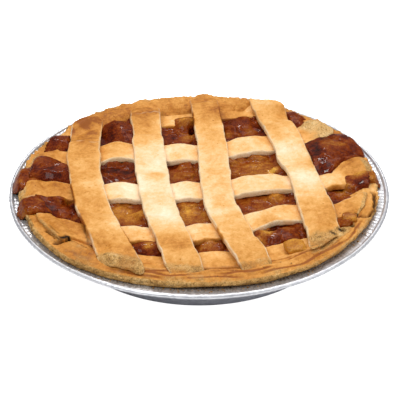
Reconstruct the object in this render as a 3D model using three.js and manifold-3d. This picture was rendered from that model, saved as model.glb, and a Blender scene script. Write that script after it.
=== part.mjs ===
// A lattice apple pie, baked and sold in its round foil tin.
// Millimetres, +Z up. The origin is the middle of the tin's base, on the surface that it stands on.
// The four long strips of the lattice run along Y, on top of five cross strips that run along X.
import * as THREE from "three";
import { ImprovedNoise } from "three/addons/math/ImprovedNoise.js";
import { mergeVertices } from "three/addons/utils/BufferGeometryUtils.js";
import Module from "manifold-3d";

const wasm = await Module();
wasm.setup();

// The tin
const RIM_Z = 29; // the flange's upper face, above the base
const TIN_R = 122; // to the outside of the rolled bead
const BEAD_R = 1.4;
const BEAD_FROM = -160; // degrees round the bead, which is open where it meets the flange
const BEAD_ARC = 320;
const FLANGE_IN_R = 110;
const BASE_R = 89.5;
const FOIL = 0.5;
const PANEL_R = 74; // the middle of the base is pressed up by PANEL_LIFT
const PANEL_LIFT = 0.9;
const ROUND_SEGMENTS = 52;

// The pastry case
const GAP = 0.3; // between pieces that lie against each other
const CASE_T = 4.6;
const CASE_R = 112.6;
const CASE_TOP = 6.2; // of the rim, above the flange
const CASE_SLOPE_IN = 91; // the rim's inner slope starts here and
const CASE_SLOPE_OUT = 107; // reaches its full height here
const CASE_FLOOR_R = 84; // of its inside, at the foot of the wall
const SWELL = 0.9; // how much the rim's height and reach wander round the pie
const CRAGS = 0.8; // and how much they vary from one crag to the next
const EDGE_FALL = 0.3; // how much lower the rim's top lies for each millimetre that its edge reaches out

// How far the rim's edge reaches past CASE_R, for directions in degrees. It is widest at the front left.
const edgeReaches = [
  [-171, 2.4], [-158, 3.4], [-147, 4.6], [-139, 5.0], [-129, 4.2], [-120, 3.2], [-112, 2.2], [-99, 1.9],
  [-84, 2.2], [-75, 2.6], [-66, 2.8], [-56, 2.4], [-46, 1.4], [-38, 1.2], [-30, 2.2], [-20, 2.0], [-8, 1.4],
  [0, 1.2], [30, 1.0], [60, 0.5],
  [90, 0], [118, 0], [133, 1.0], [145, 2.8], [160, 3.0], [189, 2.4],
];

// The filling
const FILLING_EDGE_Z = 1.0; // its level at the rim, above the flange
const FILLING_SAG = 1.3; // how much lower it is in the middle
const FILLING_RISE = 0.9; // how far it comes up round a strip that lies on it
const FILLING_LUMPS = 0.9; // how high the fruit's lumps stand
const FILLING_BASE = 4; // the loaf's flat underside, inside the case's base
const FILLING_FLAT_R = 100; // outside this its level stays as it is
const SPILL_IN = 98; // where a spill over the rim starts
const SPILL_T = 2.6;

// The lattice
const CROSS_T = 4.5;
const LONG_T = 4;
const EDGE_DROP = 1.1; // how far a strip's upper face falls off at its cut edges
const BRIDGE_SAG = 1.9; // how far a long strip sinks between two cross strips
const END_TAPER = 16; // the length over which a strip thins towards its pressed end
const END_T = 0.62; // the share of its thickness that is left there
const PRESSED = 1.7; // how deep the ends are pressed into the case
const STRIP_REACH = 112; // the ends are trimmed to this radius
const STRIP_STEP = 10;
const ROUND_OVER = [-1, -0.74, 0.74, 1]; // where a strip's lines lie across its half width

// Each strip's width and the points that its middle line runs through, seen from above.
const longStrips = [
  { width: 21, line: [[-63.5, 90.5], [-70.5, 42], [-71.5, -18], [-61, -88]] },
  { width: 21, line: [[-21.5, 108], [-27, 40], [-30, -25], [-24.5, -104]] },
  { width: 20, line: [[21, 109.5], [15.5, 40], [8, -35], [17, -105]] },
  { width: 21.5, line: [[60, 93], [65.5, 40], [66, -25], [63, -87]] },
];
const crossStrips = [
  { width: 17, line: [[-38, 87], [-5, 83], [34, 86], [66, 86]] },
  { width: 21, line: [[-99, 47], [-48, 45], [-4, 36], [42, 38], [97, 49]] },
  { width: 20.5, line: [[-112, 4], [-60, -5], [-6, -11.5], [50, -11.5], [110, -2]] },
  { width: 17.5, line: [[-103, -41], [-60, -54], [-8, -60.5], [42, -50], [105, -37]] },
  { width: 17, line: [[-60, -87], [-22, -91], [16, -91], [59, -86]] },
];

// Where the filling bulges between the strips: the middle, the two half sizes and the height.
const bulges = [
  { at: [-44, 72], size: [13, 17], rise: 6.2 },
  { at: [-90, 67], size: [11, 12], rise: 6.5 },
  { at: [-95, 29], size: [16, 19], rise: 6.4 },
  { at: [-101, -16], size: [18, 12], rise: 5.6 },
  { at: [41, 69], size: [14, 13], rise: 3.6 },
  { at: [77, 70], size: [9, 12], rise: 4.4 },
  { at: [93, 19], size: [17, 17], rise: 6.6 },
  { at: [98, -22], size: [14, 13], rise: 5 },
  { at: [40, -70], size: [16, 11], rise: 4.6 },
  { at: [-2, 82], size: [10, 9], rise: 3.4 },
];
// Where it has boiled over the rim, down to the flange: direction in degrees, width along the rim, reach.
const spills = [
  { turn: 169.5, width: 36, reach: 119 },
  { turn: 188.5, width: 19, reach: 117 },
  { turn: 15.5, width: 42, reach: 116 },
  { turn: -8.5, width: 12, reach: 116.5 },
];

// Two pieces of apple lie on top: where, how large, how high above the flange, and how they are turned.
const apples = [
  { at: [43, -87.5], size: [13, 11.5, 4.6], lift: 6.7, lean: 5, turn: 4 },
  { at: [82.5, -64], size: [9.5, 7, 5], lift: 5.6, lean: 14, turn: -14 },
];

const smooth = (from, to, x) => THREE.MathUtils.smoothstep(x, from, to);
const noise = new ImprovedNoise();

// A bump that is 1 in the middle and 0 at a distance of 1.
const dome = (d) => (d < 1 ? (1 - d * d) ** 1.5 : 0);

const caseTop = (r) => RIM_Z - 0.2 + CASE_TOP * smooth(CASE_SLOPE_IN, CASE_SLOPE_OUT, r);
const fillingLevel = (r) => RIM_Z + FILLING_EDGE_Z - FILLING_SAG * (1 - (r / 95) ** 2);

// The surface that the cross strips lie on: the filling, and the case's rim further out.
function restZ(x, y) {
  const r = Math.hypot(x, y);
  return Math.max(fillingLevel(Math.min(r, FILLING_FLAT_R)), caseTop(r) - PRESSED);
}

// A strip's middle line seen from above, as a smooth curve through its points.
function planCurve({ line }) {
  const points = line.map(([x, y]) => new THREE.Vector3(x, y, 0));
  return new THREE.CatmullRomCurve3(points, false, "centripetal");
}

// The same lines as close points, to measure distances from.
const spaced = (strip) => ({ ...strip, points: planCurve(strip).getSpacedPoints(80) });
const crossLines = crossStrips.map(spaced);
const longLines = longStrips.map(spaced);

// How far a point lies from the nearest strip of a set, as a share of that strip's half width.
function nearest(lines, x, y) {
  let share = Infinity;
  for (const { points, width } of lines)
    for (const p of points) share = Math.min(share, Math.hypot(p.x - x, p.y - y) / (width / 2));
  return share;
}

// The surface that the long strips lie on: over each cross strip, and sagging between them.
function bridgeZ(x, y) {
  const r = Math.hypot(x, y);
  const held = 1 - smooth(1.25, 2.1, nearest(crossLines, x, y));
  const onRim = smooth(94, 104, r);
  const over = CROSS_T + 0.4 - BRIDGE_SAG * (1 - held);
  return restZ(x, y) + over * (1 - onRim * (1 - held * 0.55));
}

// Turns a closed geometry into a solid that can be cut and joined.
function solidOf(geometry) {
  const bare = geometry.clone();
  bare.deleteAttribute("normal");
  bare.deleteAttribute("uv");
  const merged = mergeVertices(bare, 1e-3);
  return new wasm.Manifold(
    new wasm.Mesh({
      numProp: 3,
      vertProperties: merged.attributes.position.array,
      triVerts: new Uint32Array(merged.index.array),
    }),
  );
}

// The largest body of a solid, without the loose scraps of a cut, as a geometry.
function geometryOf(solid) {
  const bodies = solid.decompose();
  const main = bodies.reduce((a, b) => (b.volume() > a.volume() ? b : a));
  const { numProp, vertProperties, triVerts } = main.getMesh();
  const position = new Float32Array((vertProperties.length / numProp) * 3);
  for (let i = 0; i < position.length / 3; i++)
    position.set(vertProperties.subarray(i * numProp, i * numProp + 3), i * 3);
  const geometry = new THREE.BufferGeometry();
  geometry.setAttribute("position", new THREE.BufferAttribute(position, 3));
  geometry.setIndex(new THREE.BufferAttribute(triVerts, 1));
  geometry.computeVertexNormals();
  return geometry;
}

// Moves each vertex of a geometry by a rule.
function reshape(geometry, rule) {
  const p = geometry.attributes.position;
  const v = new THREE.Vector3();
  for (let i = 0; i < p.count; i++) {
    rule(v.fromBufferAttribute(p, i));
    p.setXYZ(i, v.x, v.y, v.z);
  }
  return geometry;
}

// A profile of [radius, height] points, turned about Z.
function turned(profile, segments = ROUND_SEGMENTS) {
  const lathe = new THREE.LatheGeometry(profile.map(([r, z]) => new THREE.Vector2(r, z)), segments);
  return lathe.rotateX(Math.PI / 2);
}

// The foil's middle line from the axis to the bead: a lifted panel, a standing ring, the wall, the flange.
const foilLine = [
  [0, PANEL_LIFT + FOIL / 2],
  [PANEL_R, PANEL_LIFT + FOIL / 2],
  [PANEL_R + 2.5, FOIL / 2],
  [BASE_R - 3, FOIL / 2],
  [BASE_R - 0.4, 2.1],
  [FLANGE_IN_R - 1.6, RIM_Z - 2.1],
  [FLANGE_IN_R, RIM_Z - FOIL / 2],
  [TIN_R - 2 * BEAD_R, RIM_Z - FOIL / 2],
];

// A line moved sideways by a distance, away from its right-hand side.
function offsetLine(line, distance) {
  return line.map(([r, z], i) => {
    const [r0, z0] = line[Math.max(i - 1, 0)];
    const [r1, z1] = line[Math.min(i + 1, line.length - 1)];
    const length = Math.hypot(r1 - r0, z1 - z0);
    const sideways = i === 0 ? 0 : (-(z1 - z0) / length) * distance;
    return [r + sideways, z + ((r1 - r0) / length) * distance];
  });
}

function tinGeometry() {
  const bead = [];
  const steps = 6;
  for (let i = 0; i <= steps; i++) {
    const turn = THREE.MathUtils.degToRad(BEAD_FROM + (BEAD_ARC * i) / steps);
    bead.push([TIN_R - BEAD_R + BEAD_R * Math.cos(turn), RIM_Z + BEAD_R * Math.sin(turn)]);
  }
  const under = offsetLine(foilLine, -FOIL / 2);
  const over = offsetLine(foilLine, FOIL / 2).reverse();
  return turned([...under, ...bead, ...over]);
}

// How far the rim's edge reaches past CASE_R in one direction, read from the list as a straight line.
function edgeReach(turn) {
  const degrees = THREE.MathUtils.radToDeg(turn);
  const from = degrees < edgeReaches[0][0] ? degrees + 360 : degrees;
  const next = edgeReaches.findIndex(([at]) => at >= from);
  const [before, after] = [edgeReaches[next - 1] ?? edgeReaches[0], edgeReaches[next]];
  const share = (from - before[0]) / Math.max(after[0] - before[0], 1);
  return before[1] + (after[1] - before[1]) * share;
}

// How rough the case's rim is: the height and the reach vary round it and break into crags.
function caseRelief(v) {
  const turn = Math.atan2(v.y, v.x);
  const far = edgeReach(turn) * smooth(FLANGE_IN_R, FLANGE_IN_R + 1.3, Math.hypot(v.x, v.y));
  v.x += far * Math.cos(turn);
  v.y += far * Math.sin(turn);
  v.z -= EDGE_FALL * far * smooth(RIM_Z + 2, RIM_Z + 5, v.z);
  const r = Math.hypot(v.x, v.y);
  const onRim = smooth(94, 106, r) * smooth(RIM_Z + 0.6, RIM_Z + 2.5, v.z);
  const swell = noise.noise(3.1 * Math.cos(turn), 3.1 * Math.sin(turn), 0.4);
  const crags = noise.noise(v.x * 0.11, v.y * 0.11, 5.3);
  v.z += onRim * (SWELL * swell + CRAGS * crags);
  const reach = 1 + (onRim * (SWELL * swell + 1.5 * CRAGS * crags)) / Math.max(r, 1);
  v.x *= reach;
  v.y *= reach;
}

// The pastry case: base, wall, and a rim that slopes up from the filling and hangs just over the flange.
// The profile runs out along the underside, up the wall, round the rim's edge and back over the inside.
function caseSolid(grow = 0) {
  const out = GAP + 0.1 - grow;
  const inner = CASE_T + grow;
  const rimSteps = [CASE_R - 1.6, CASE_SLOPE_OUT, 102, 97, CASE_SLOPE_IN];
  const profile = [
    [0, PANEL_LIFT + FOIL + out],
    [BASE_R - 3.5, PANEL_LIFT + FOIL + out],
    [BASE_R - 1.3 - out, 3.4 + out],
    [FLANGE_IN_R - 2.2 - out, RIM_Z - 1.6 + out],
    [FLANGE_IN_R - 0.6, RIM_Z + out],
    [CASE_R - 1.2, RIM_Z + out],
    [CASE_R + grow, RIM_Z + 1.8],
    [CASE_R - 0.3 + grow, RIM_Z + 4.6],
    ...rimSteps.map((r) => [r, caseTop(r) + grow]),
    [CASE_FLOOR_R - grow, PANEL_LIFT + inner + 1],
    [0, PANEL_LIFT + inner],
  ];
  return solidOf(reshape(turned(profile), caseRelief));
}

// A strip of dough: a long flat box, bent along its line and laid on the surface under it.
function stripSolid(strip, thickness, underZ, grow = 0) {
  const curve = planCurve(strip);
  const length = curve.getLength();
  const width = strip.width + 2 * grow;
  const steps = Math.round(length / STRIP_STEP);
  const box = new THREE.BoxGeometry(2, 1, 1, ROUND_OVER.length - 1, steps, 1);
  reshape(box, (v) => {
    const across = ROUND_OVER[Math.round(((v.x + 1) / 2) * (ROUND_OVER.length - 1))];
    const along = THREE.MathUtils.clamp(0.5 - v.y, 0, 1);
    const at = curve.getPointAt(along);
    const ahead = curve.getTangentAt(along);
    const fromEnd = Math.min(along, 1 - along) * length;
    const thin = END_T + (1 - END_T) * smooth(0, END_TAPER, fromEnd);
    const wander = 0.8 * noise.noise(at.x * 0.06, at.y * 0.06, across * 0.7 + strip.width);
    const half = across * (width / 2) + wander;
    const beyond = (along === 0 ? -grow : 0) + (along === 1 ? grow : 0);
    const side = new THREE.Vector2(at.x - ahead.y * half, at.y + ahead.x * half);
    side.add(new THREE.Vector2(ahead.x, ahead.y).multiplyScalar(beyond));
    const { x, y } = side.clampLength(0, STRIP_REACH + grow);
    const drop = EDGE_DROP * Math.max(0, (Math.abs(across) - 0.7) / 0.3) ** 2;
    const top = (thickness - drop) * thin + grow;
    v.set(x, y, underZ(x, y) + (v.z > 0 ? top : -grow));
  });
  return solidOf(box);
}

// The filling's upper surface before the strips are pressed into it.
function fillingZ(x, y) {
  const r = Math.hypot(x, y);
  let z = fillingLevel(Math.min(r, FILLING_FLAT_R)) + FILLING_RISE;
  const underLong = 1 - smooth(0.75, 1.35, nearest(longLines, x, y));
  z += underLong * Math.max(0, bridgeZ(x, y) - restZ(x, y) - 0.3);
  for (const { at, size, rise } of bulges)
    z += rise * dome(Math.hypot((x - at[0]) / size[0], (y - at[1]) / size[1]));
  const lumps = noise.noise(x * 0.075, y * 0.075, 1.7) + 0.5 * noise.noise(x * 0.16, y * 0.16, 8.2);
  return z + FILLING_LUMPS * lumps;
}

// The filling as a round loaf whose edge is buried in the case's wall.
function fillingLoaf() {
  const rings = [108, 98.5, 91, 82.5, 74, 65.5, 57, 47, 36, 22, 0];
  const topZ = RIM_Z + 2;
  const underSide = [
    [0, FILLING_BASE],
    [BASE_R - 3.5, FILLING_BASE],
    [104, RIM_Z - 2],
    [109, RIM_Z + 1.4],
  ];
  const loaf = turned([...underSide, ...rings.map((r) => [r, topZ])]);
  reshape(loaf, (v) => {
    if (v.z > topZ - 0.01) v.z = Math.max(fillingZ(v.x, v.y), RIM_Z + 1.6);
  });
  return solidOf(loaf);
}

// Filling that has run over the rim: a thick drop that follows the rim's form and ends on the flange.
function spillSolid({ turn, width, reach }) {
  const drop = new THREE.BoxGeometry(2, 2, 1, 6, 4, 1);
  reshape(drop, (v) => {
    const out = (v.x + 1) / 2;
    const across = v.y * (1 - 0.25 * out * out);
    const ragged = noise.noise(v.x * 1.3, v.y * 1.7, turn);
    const r = SPILL_IN + (reach - SPILL_IN) * out * (1 - 0.1 * v.y * v.y) + 0.8 * ragged;
    const onRim = caseTop(r) + 0.4 - RIM_Z;
    const fall = 1 - smooth(CASE_R - 2, reach + 1, r);
    const thick = SPILL_T * (1 - 0.7 * v.y * v.y) + 0.5 * ragged;
    v.set(r, across * (width / 2), RIM_Z + (v.z > 0 ? onRim * fall + thick : -1));
  });
  return solidOf(drop.rotateZ(THREE.MathUtils.degToRad(turn)));
}

// A piece of cooked apple: a box with softened corners, set down on what is under it.
function appleSolid({ at, size, lift, lean, turn }) {
  const block = new THREE.BoxGeometry(2, 2, 2, 3, 3, 2);
  reshape(block, (v) => {
    const soft = 1 - 0.13 * (v.x * v.x * v.y * v.y + v.y * v.y * v.z * v.z + v.z * v.z * v.x * v.x);
    v.multiplyScalar(soft * (1 + 0.07 * noise.noise(v.x * 2 + at[0], v.y * 2, v.z * 2)));
  });
  block.scale(...size.map((s) => s / 2));
  block.rotateX(THREE.MathUtils.degToRad(lean));
  block.rotateZ(THREE.MathUtils.degToRad(turn));
  return solidOf(block.translate(at[0], at[1], RIM_Z + lift));
}

const longSolid = (strip, grow = 0) => stripSolid(strip, LONG_T, bridgeZ, grow);
const crossSolid = (strip, grow = 0) => stripSolid(strip, CROSS_T, restZ, grow);
const union = (solids) => wasm.Manifold.union(solids);

// What each piece is cut by: its neighbours with the gap round them.
const longCut = union(longStrips.map((strip) => longSolid(strip, GAP)));
const crossCut = union(crossStrips.map((strip) => crossSolid(strip, GAP)));
const latticeCut = union([longCut, crossCut]);
const caseCut = caseSolid(GAP);
const underFlange = [
  [0, -2],
  [TIN_R, -2],
  [TIN_R, RIM_Z + GAP],
  [FLANGE_IN_R - 1.5, RIM_Z + GAP],
  [0, 0],
];
const tinCut = solidOf(turned(underFlange));

const crust = caseSolid().subtract(latticeCut);
const spilt = union(spills.map(spillSolid)).subtract(tinCut);
const wholeFilling = union([fillingLoaf(), spilt]);
const filling = wholeFilling.subtract(caseCut).subtract(latticeCut);

const dough = (colour) => new THREE.MeshStandardMaterial({ color: colour, roughness: 0.75, metalness: 0 });
const foil = new THREE.MeshStandardMaterial({ color: 0xc9cbd0, roughness: 0.32, metalness: 1 });
const rimDough = dough(0xc98f4e);
const latticeDough = dough(0xe9bd7c);
const fruit = new THREE.MeshStandardMaterial({ color: 0x6e3216, roughness: 0.25, metalness: 0 });
const apple = new THREE.MeshStandardMaterial({ color: 0xc07a1e, roughness: 0.35, metalness: 0 });

function piece(name, geometry, material) {
  const mesh = new THREE.Mesh(geometry, material);
  mesh.name = name;
  return mesh;
}

const lattice = new THREE.Group();
longStrips.forEach((strip, i) => {
  lattice.add(piece(`long_strip_${i + 1}`, geometryOf(longSolid(strip)), latticeDough));
});
crossStrips.forEach((strip, i) => {
  const solid = crossSolid(strip).subtract(longCut);
  lattice.add(piece(`cross_strip_${i + 1}`, geometryOf(solid), latticeDough));
});

const toppings = new THREE.Group();
apples.forEach((chunk, i) => {
  const solid = appleSolid(chunk).subtract(latticeCut).subtract(wholeFilling).subtract(caseCut);
  toppings.add(piece(`apple_piece_${i + 1}`, geometryOf(solid), apple));
});

const pie = new THREE.Group();
pie.add(piece("tin", tinGeometry(), foil));
pie.add(piece("crust", geometryOf(crust), rimDough));
pie.add(piece("filling", geometryOf(filling), fruit));
pie.add(lattice, toppings);

export default pie;
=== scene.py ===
# %% [markdown]
# # A lattice apple pie in its foil tin
# The solids of the pie are a fixed frame: a tin, a pastry case, a filling, nine strips of dough and two
# pieces of apple. Each of them gets a finer piece here, made in the same place and at the same size.

# %% The fixed frame
import math
import random

import bmesh
import bpy
from mathutils import Matrix, Vector, geometry, kdtree, noise


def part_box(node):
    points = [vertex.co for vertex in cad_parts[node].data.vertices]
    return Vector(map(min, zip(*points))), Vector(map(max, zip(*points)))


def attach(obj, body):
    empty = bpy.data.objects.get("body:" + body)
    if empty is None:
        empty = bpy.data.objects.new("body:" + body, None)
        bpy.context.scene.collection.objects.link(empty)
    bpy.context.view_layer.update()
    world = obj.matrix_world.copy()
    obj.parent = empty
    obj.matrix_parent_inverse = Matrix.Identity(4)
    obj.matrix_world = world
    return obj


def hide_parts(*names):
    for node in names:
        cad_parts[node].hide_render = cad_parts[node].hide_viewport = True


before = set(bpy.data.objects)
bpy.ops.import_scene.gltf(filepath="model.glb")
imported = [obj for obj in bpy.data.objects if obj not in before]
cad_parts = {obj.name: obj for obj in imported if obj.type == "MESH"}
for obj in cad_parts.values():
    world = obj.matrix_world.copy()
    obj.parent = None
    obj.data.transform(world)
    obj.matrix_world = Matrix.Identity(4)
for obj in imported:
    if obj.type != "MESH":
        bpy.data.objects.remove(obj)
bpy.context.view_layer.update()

print("the frame's nodes:", sorted(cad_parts))

# %% [markdown]
# ## Units and small helpers
# A pie is easiest to think of in millimetres, so every shape is made in them. A mesh is scaled down to
# metres once, when it becomes an object. The helpers below are the few sums that all the pieces share.

# %% Helpers for numbers
MM = 0.001
# Without a seed, noise that moves points would differ a little in every run.
noise.seed_set(7)


def clamp(value, low=0.0, high=1.0):
    return max(low, min(high, value))


def smooth(start, end, value):
    """0 before start, 1 after end, and a soft step between them."""
    t = clamp((value - start) / (end - start))
    return t * t * (3 - 2 * t)


def mix(a, b, share):
    """The value that lies at a share of the way from a to b."""
    return a + (b - a) * share


def dome(distance, power=1.5):
    """A bump that is 1 in the middle and 0 at a distance of 1. A low power makes it fuller."""
    return (1 - distance * distance) ** power if distance < 1 else 0.0


def waves(x, y, z, size, layer):
    """Soft noise between about -1 and 1, with bumps of the given size in millimetres."""
    return noise.noise(Vector((x / size + layer, y / size - layer, z / size + 3 * layer)))


def rough(x, y, z, size, layer):
    """Noise with finer and finer bumps on top of the large ones."""
    return noise.fractal(Vector((x / size + layer, y / size, z / size - layer)), 0.9, 2.1, 3)


def spots(table, x, y, spread=1.0):
    """The sum of round spots at a place, each with its middle, its radius and its strength."""
    return sum(strength * dome(math.hypot(x - at_x, y - at_y) / radius / spread)
               for at_x, at_y, radius, strength in table)


def off_by(turn, degrees):
    """How many degrees a direction in radians is from one in degrees."""
    return abs((math.degrees(turn) - degrees + 180) % 360 - 180)


# %% Helpers for meshes
def grid_box(cuts):
    """A closed box from -1 to 1, with each side cut into a grid."""
    bm = bmesh.new()
    bmesh.ops.create_cube(bm, size=2)
    for axis in range(3):
        along = [e for e in bm.edges if abs(e.verts[0].co[axis] - e.verts[1].co[axis]) > 1e-6]
        bmesh.ops.subdivide_edges(bm, edges=along, cuts=cuts[axis], use_grid_fill=True)
    return bm


def spun(profile, steps):
    """A closed outline of (radius, height) points, turned once round the upright axis."""
    bm = bmesh.new()
    verts = [bm.verts.new((r, 0, z)) for r, z in profile]
    edges = [bm.edges.new(pair) for pair in zip(verts, verts[1:])]
    bmesh.ops.spin(bm, geom=verts + edges, cent=(0, 0, 0), axis=(0, 0, 1), angle=math.tau,
                   steps=steps, use_merge=True)
    bmesh.ops.remove_doubles(bm, verts=bm.verts, dist=1e-4)
    bmesh.ops.recalc_face_normals(bm, faces=bm.faces)
    return bm


def measures(bm, *names):
    """One number for each vertex under each name, which a material can read."""
    return [bm.verts.layers.float.new(name) for name in names]


def mesh_from(name, bm, material):
    """The mesh of one material that a finished bmesh turns into."""
    mesh = bpy.data.meshes.new(name)
    bm.to_mesh(mesh)
    bm.free()
    mesh.materials.append(material)
    return mesh


def new_object(name, data):
    """An object in the scene that shows a mesh, a camera or a lamp."""
    made = bpy.data.objects.new(name, data)
    bpy.context.collection.objects.link(made)
    return made


def aim_at(thing, location, target):
    """Puts a camera or a lamp in its place and turns it towards a point."""
    thing.location = location
    thing.rotation_mode = "QUATERNION"
    thing.rotation_quaternion = (target - thing.location).to_track_quat("-Z", "Y")


def make_piece(name, bm, material, nodes=()):
    """Turns a mesh in millimetres into a finished object that rides on the pie."""
    bm.transform(Matrix.Scale(MM, 4))
    mesh = mesh_from(name, bm, material)
    mesh.shade_smooth()
    piece = new_object(name, mesh)
    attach(piece, "root")
    if nodes:
        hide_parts(*nodes)
    triangles = sum(len(p.vertices) - 2 for p in mesh.polygons)
    print(f"{name}: {triangles} triangles")


# %% [markdown]
# ## The camera
# The photograph looks down on the pie by about 32 degrees, from slightly to the left of the long strips,
# through a long lens. The camera circles the middle of the tin's rim and aims a little below it.

# %% The camera
RIM_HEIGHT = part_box("tin")[1].z - 1.3 * MM
VIEW_DISTANCE = 0.850
VIEW_ELEVATION = math.radians(31.6)
VIEW_AZIMUTH = math.radians(-9.5)
AIM_DOWN = 0.0091
AIM_RIGHT = 0.0006
LENS = 118.3

back = Vector((math.sin(VIEW_AZIMUTH) * math.cos(VIEW_ELEVATION),
               -math.cos(VIEW_AZIMUTH) * math.cos(VIEW_ELEVATION),
               math.sin(VIEW_ELEVATION)))
right = Vector((math.cos(VIEW_AZIMUTH), math.sin(VIEW_AZIMUTH), 0))
up = back.cross(right)
rim_centre = Vector((0, 0, RIM_HEIGHT))
aim = rim_centre + right * AIM_RIGHT - up * AIM_DOWN

camera_data = bpy.data.cameras.new("camera")
camera_data.lens = LENS
camera = new_object("camera", camera_data)
aim_at(camera, rim_centre + back * VIEW_DISTANCE, aim)
bpy.context.scene.camera = camera
print("camera at", [round(v, 3) for v in camera.location])

# %% [markdown]
# ## How materials are made
# Each finish is a set of nodes. A short helper adds one node with its values and its links, so that a
# material reads from top to bottom like a recipe.


# %% Helpers for materials
def colour(code):
    """A colour written as on a screen, as the linear values that Blender wants."""
    parts = [int(code[i:i + 2], 16) / 255 for i in (1, 3, 5)]
    linear = [p / 12.92 if p <= 0.04045 else ((p + 0.055) / 1.055) ** 2.4 for p in parts]
    return (*linear, 1.0)


def fill_in(tree, node, inputs):
    """Gives each named input of a node a value, or a link from another node's output."""
    for key, value in inputs.items():
        if isinstance(value, bpy.types.NodeSocket):
            tree.links.new(value, node.inputs[key])
        else:
            node.inputs[key].default_value = value


def add(tree, kind, inputs=None, **settings):
    """Adds a node with its settings and its inputs."""
    made = tree.nodes.new("ShaderNode" + kind)
    for key, value in settings.items():
        setattr(made, key, value)
    fill_in(tree, made, inputs or {})
    return made


def own_place(tree):
    """The object's own coordinates, so that a pattern stays with its piece."""
    return add(tree, "TexCoord").outputs["Object"]


def number_on(tree, key):
    """The number that each vertex carries under a name."""
    return add(tree, "Attribute", attribute_name=key).outputs["Fac"]


def sum_of(tree, operation, a, b=0.0, c=0.0):
    """The result of one operation. MULTIPLY_ADD is a times b, plus c."""
    return add(tree, "Math", {0: a, 1: b, 2: c}, operation=operation).outputs[0]


def swayed(tree, base, texture, amount):
    """A value that a noise moves up and down by an amount, counted from the noise's middle."""
    return sum_of(tree, "MULTIPLY_ADD", sum_of(tree, "SUBTRACT", texture, 0.5), amount, base)


def blended(tree, share, a, b):
    """Two colours mixed by a share from 0 to 1."""
    return add(tree, "Mix", {0: share, 6: a, 7: b}, data_type="RGBA").outputs[2]


def fitted(tree, value, low, high, new_low=0.0, new_high=1.0):
    """A value stretched from one range to another with soft ends."""
    made = add(tree, "MapRange", {"Value": value, "From Min": low, "From Max": high,
                                  "To Min": new_low, "To Max": new_high},
               interpolation_type="SMOOTHSTEP")
    return made.outputs["Result"]


def noise_of(tree, place, size, detail=3.0, roughness=0.55):
    """Noise with bumps of a size in millimetres."""
    made = add(tree, "TexNoise", {"Vector": place, "Scale": 1000 / size, "Detail": detail,
                                  "Roughness": roughness})
    return made.outputs["Fac"]


def ramp(tree, value, stops):
    """A value turned into a colour by stops of (position, colour)."""
    made = add(tree, "ValToRGB", {"Fac": value})
    elements = made.color_ramp.elements
    while len(elements) < len(stops):
        elements.new(0.5)
    for element, (position, code) in zip(elements, stops):
        element.position = position
        element.color = colour(code)
    return made.outputs["Color"]


def new_group(name, inputs, outputs):
    """An empty shader node group with named sockets; gives its tree, its inputs and its outputs."""
    tree = bpy.data.node_groups.new(name, "ShaderNodeTree")
    for label, value in inputs.items():
        socket = tree.interface.new_socket(label, in_out="INPUT", socket_type="NodeSocketFloat")
        socket.default_value = value
    for label, kind in outputs.items():
        tree.interface.new_socket(label, in_out="OUTPUT", socket_type="NodeSocket" + kind)
    given = tree.nodes.new("NodeGroupInput")
    result = tree.nodes.new("NodeGroupOutput")
    return tree, given.outputs, result.inputs


def place_group(tree, group, inputs):
    """Puts a group into a tree as one node; gives its outputs."""
    made = tree.nodes.new("ShaderNodeGroup")
    made.node_tree = group
    fill_in(tree, made, inputs)
    return made.outputs


def new_material(name):
    """A material with its tree and its shader."""
    material = bpy.data.materials.new(name)
    material.use_nodes = True
    return material, material.node_tree, material.node_tree.nodes["Principled BSDF"]


def bump_into(tree, shader, height, distance):
    """Height that only tilts the shading, for relief finer than the mesh."""
    made = add(tree, "Bump", {"Height": height, "Distance": distance * MM, "Strength": 1.0})
    tree.links.new(made.outputs["Normal"], shader.inputs["Normal"])


def coat_with(tree, shader, group, numbers, relief):
    """Lets a group give the shader its colour, its roughness and its relief."""
    outputs = place_group(tree, group, numbers)
    tree.links.new(outputs["Color"], shader.inputs["Base Color"])
    tree.links.new(outputs["Roughness"], shader.inputs["Roughness"])
    bump_into(tree, shader, outputs["Height"], relief)


# %% [markdown]
# ## Baked dough
# Pastry goes from cream through gold to brown as it bakes, and how far it has got differs from place to
# place. Each piece of dough carries four numbers on its vertices: how baked it is, how much of it is a
# cut side, how crumbly it is, and how much painted shade darkens it inside a crack or hole. One node group
# turns them into a colour, a height and a roughness, so the case, the strips and the crumbs all look like
# the same dough.

# %% The dough group
tree, given, result = new_group(
    "Dough", {"Baked": 0.5, "Cut side": 0.0, "Crumbly": 0.0, "Crack shade": 0.0},
    {"Color": "Color", "Height": "Float", "Roughness": "Float"})
place = own_place(tree)
broad = noise_of(tree, place, 16.0, 2.0)
patches = noise_of(tree, place, 5.0, 3.0)
mottle = noise_of(tree, place, 2.4, 2.0)
fine = noise_of(tree, place, 1.1, 3.0)
grain = noise_of(tree, place, 0.7, 2.0)
pits = add(tree, "TexVoronoi", {"Vector": place, "Scale": 1000 / 1.7}).outputs["Distance"]
specks = fitted(tree, noise_of(tree, place, 2.0, 1.0), 0.70, 0.80)

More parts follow.
